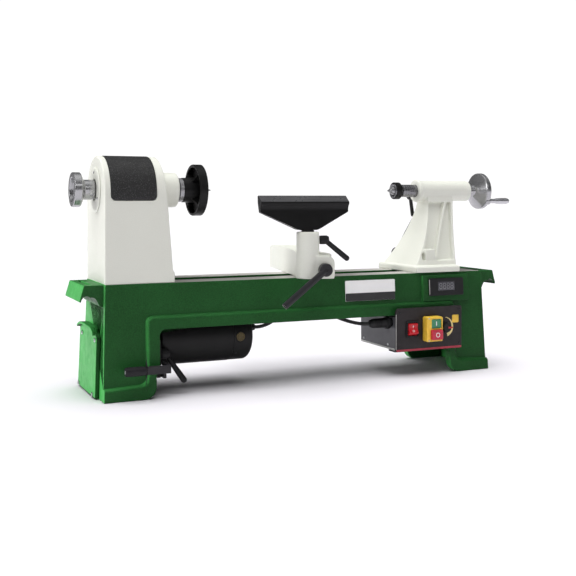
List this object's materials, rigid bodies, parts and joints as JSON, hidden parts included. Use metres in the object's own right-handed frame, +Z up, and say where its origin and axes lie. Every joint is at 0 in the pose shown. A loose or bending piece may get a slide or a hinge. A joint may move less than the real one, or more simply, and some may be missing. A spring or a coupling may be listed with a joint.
{
  "type": "wood lathe",
  "caption": "Bench wood lathe: cast bed, headstock with faceplate and spur centre, swinging tool rest, tailstock with handwheel, under-slung motor and front control box.",
  "frame": {"origin": "middle of the whole lathe's box, on the surface it stands on", "axes": "+X along the bed from headstock to tailstock, +Y from the operator's side to the back, +Z up"},
  "size_m": [0.9604, 0.3604, 0.4393],
  "materials": {
    "green_paint": "orange-peel enamel on cast iron",
    "cream_paint": "fine textured enamel on cast iron",
    "black_paint": "satin",
    "speckled_paint": "wrinkle finish with pale specks",
    "black_plastic": "satin moulded",
    "bright_steel": "turned and ground",
    "chrome": "polished",
    "cast_aluminium": "machined",
    "rubber": "matte",
    "charcoal_panel": "matt overlay",
    "grey_sheet": "satin",
    "yellow_plastic": "satin",
    "red_plastic": "satin",
    "green_plastic": "satin",
    "label": "blank two-tone plate",
    "brass": "dull",
    "display_glass": "smoked window"
  },
  "bodies": {
    "bed": {"bed_casting": "green_paint", "end_cover": "green_paint", "headstock_casting": "cream_paint", "bearing_front": "bright_steel", "bearing_rear": "bright_steel", "bearing_cap": "cream_paint", "cover_hinge": "bright_steel", "speed_sensor": "black_plastic", "drive_belt": "rubber", "motor_pivot_pin": "bright_steel", "control_box": "grey_sheet", "speed_controller": "cast_aluminium", "control_panel": "charcoal_panel", "rocker_frame": "black_plastic", "switch_housing": "yellow_plastic", "power_inlet": "black_plastic", "nameplate": "label", "display_housing": "black_plastic", "display_window": "display_glass", "motor_lead": "rubber", "lead_plug": "black_plastic"},
    "spindle": {"spindle_shaft": "bright_steel", "spindle_pulley": "cast_aluminium", "outboard_handwheel": "chrome", "faceplate": "black_paint", "spur_centre": "bright_steel"},
    "belt_cover": {"belt_cover": "speckled_paint"},
    "motor": {"motor_plate": "black_paint", "motor_housing": "black_paint", "motor_end_bell": "black_paint", "brush_cap_front": "brass", "brush_cap_back": "brass", "tension_arm": "black_paint", "tension_grip": "black_plastic"},
    "rotor": {"motor_armature": "bright_steel", "motor_pulley": "cast_aluminium"},
    "motor_lock_lever": {"motor_lock_lever": "black_plastic"},
    "rocker_button": {"rocker_button": "red_plastic"},
    "start_button": {"start_button": "green_plastic"},
    "stop_button": {"stop_button": "red_plastic"},
    "speed_knob": {"speed_knob": "black_plastic"},
    "banjo_clamp": {"banjo_clamp_plate": "bright_steel"},
    "banjo_swivel": {"banjo_clamp_bolt": "bright_steel"},
    "banjo": {"banjo_casting": "cream_paint"},
    "banjo_lock_lever": {"banjo_lock_lever": "black_paint"},
    "rest_clamp_lever": {"rest_clamp_lever": "black_plastic"},
    "rest_post": {"rest_post": "bright_steel"},
    "tool_rest": {"tool_rest": "black_paint"},
    "tailstock": {"tailstock_casting": "cream_paint", "tailstock_clamp_plate": "bright_steel", "tailstock_clamp_bolt": "bright_steel"},
    "tailstock_lock_lever": {"tailstock_lock_lever": "black_paint"},
    "tail_handwheel": {"tail_handwheel": "chrome", "quill_screw": "bright_steel", "crank_pin": "bright_steel"},
    "quill": {"tailstock_quill": "bright_steel", "live_centre_body": "bright_steel"},
    "live_centre_point": {"live_centre_point": "bright_steel"},
    "crank_handle": {"crank_handle": "chrome"},
    "quill_lock_lever": {"quill_lock_lever": "black_plastic"}
  },
  "joints": [
    {"name": "spindle_spin", "type": "hinge", "parent": "bed", "child": "spindle", "pos_m": [-0.33615, -0.03358, 0.376], "axis": [1, 0, 0], "continuous": true},
    {"name": "belt_cover_hinge", "type": "hinge", "parent": "bed", "child": "belt_cover", "pos_m": [-0.38215, 0.04272, 0.353], "axis": [-1, 0, 0], "range_deg": [0, 95]},
    {"name": "motor_tilt", "type": "hinge", "parent": "bed", "child": "motor", "pos_m": [-0.33515, 0.02642, 0.095], "axis": [-1, 0, 0], "range_deg": [0, 6], "deforming": ["drive_belt"]},
    {"name": "rotor_spin", "type": "hinge", "parent": "motor", "child": "rotor", "pos_m": [-0.28615, -0.03358, 0.095], "axis": [1, 0, 0], "continuous": true},
    {"name": "motor_lock", "type": "hinge", "parent": "bed", "child": "motor_lock_lever", "pos_m": [-0.32615, -0.09458, 0.075], "axis": [1, 0, 0], "range_deg": [-45, 15]},
    {"name": "rocker_switch", "type": "hinge", "parent": "bed", "child": "rocker_button", "pos_m": [0.18485, -0.13108, 0.095], "axis": [1, 0, 0], "range_deg": [0, 20]},
    {"name": "start_press", "type": "slide", "parent": "bed", "child": "start_button", "axis": [0, 1, 0], "range_m": [0, 0.004], "stiffness_N_per_m": 500},
    {"name": "stop_press", "type": "slide", "parent": "bed", "child": "stop_button", "axis": [0, 1, 0], "range_m": [0, 0.004], "stiffness_N_per_m": 500},
    {"name": "speed_knob_turn", "type": "hinge", "parent": "bed", "child": "speed_knob", "pos_m": [0.26385, -0.13858, 0.095], "axis": [0, 1, 0], "range_deg": [-135, 135]},
    {"name": "banjo_slide", "type": "slide", "parent": "bed", "child": "banjo_clamp", "axis": [1, 0, 0], "range_m": [-0.14, 0.12]},
    {"name": "banjo_swivel_turn", "type": "hinge", "parent": "banjo_clamp", "child": "banjo_swivel", "pos_m": [-0.01615, -0.03358, 0.2], "axis": [0, 0, 1], "range_deg": [-8, 40]},
    {"name": "banjo_reach", "type": "slide", "parent": "banjo_swivel", "child": "banjo", "axis": [0.2079, 0.9781, 0], "range_m": [-0.1, 0.03]},
    {"name": "banjo_lock", "type": "hinge", "parent": "banjo", "child": "banjo_lock_lever", "pos_m": [-0.02468, -0.15547, 0.224], "axis": [0.2079, 0.9781, 0], "range_deg": [0, 60]},
    {"name": "rest_clamp", "type": "hinge", "parent": "banjo", "child": "rest_clamp_lever", "pos_m": [-0.01881, -0.13681, 0.28], "axis": [0.9781, -0.2079, 0], "range_deg": [-60, 60]},
    {"name": "rest_height", "type": "slide", "parent": "banjo", "child": "rest_post", "axis": [0, 0, 1], "range_m": [0, 0.06]},
    {"name": "rest_turn", "type": "hinge", "parent": "rest_post", "child": "tool_rest", "pos_m": [-0.04815, -0.13058, 0.3], "axis": [0, 0, 1], "range_deg": [-90, 90]},
    {"name": "tailstock_slide", "type": "slide", "parent": "bed", "child": "tailstock", "axis": [1, 0, 0], "range_m": [-0.11, 0.038]},
    {"name": "tailstock_lock", "type": "hinge", "parent": "tailstock", "child": "tailstock_lock_lever", "pos_m": [0.26285, 0.05142, 0.238], "axis": [0, 1, 0], "range_deg": [-70, 30]},
    {"name": "handwheel_turn", "type": "hinge", "parent": "tailstock", "child": "tail_handwheel", "pos_m": [0.40885, -0.03358, 0.376], "axis": [1, 0, 0], "range_deg": [-2850, 5950]},
    {"name": "quill_travel", "type": "slide", "parent": "tailstock", "child": "quill", "axis": [-1, 0, 0], "range_m": [-0.024, 0.05]},
    {"name": "live_centre_spin", "type": "hinge", "parent": "quill", "child": "live_centre_point", "pos_m": [0.18885, -0.03358, 0.376], "axis": [1, 0, 0], "continuous": true},
    {"name": "crank_handle_spin", "type": "hinge", "parent": "tail_handwheel", "child": "crank_handle", "pos_m": [0.44385, -0.05958, 0.354], "axis": [1, 0, 0], "continuous": true},
    {"name": "quill_lock", "type": "hinge", "parent": "tailstock", "child": "quill_lock_lever", "pos_m": [0.26285, -0.00858, 0.364], "axis": [0, 1, 0], "range_deg": [-30, 60]}
  ],
  "couplings": [
    {"joint": "rotor_spin", "follows": "spindle_spin", "ratio": 1.1143},
    {"joint": "quill_travel", "follows": "handwheel_turn", "m_per_rad": 0.00047746}
  ]
}
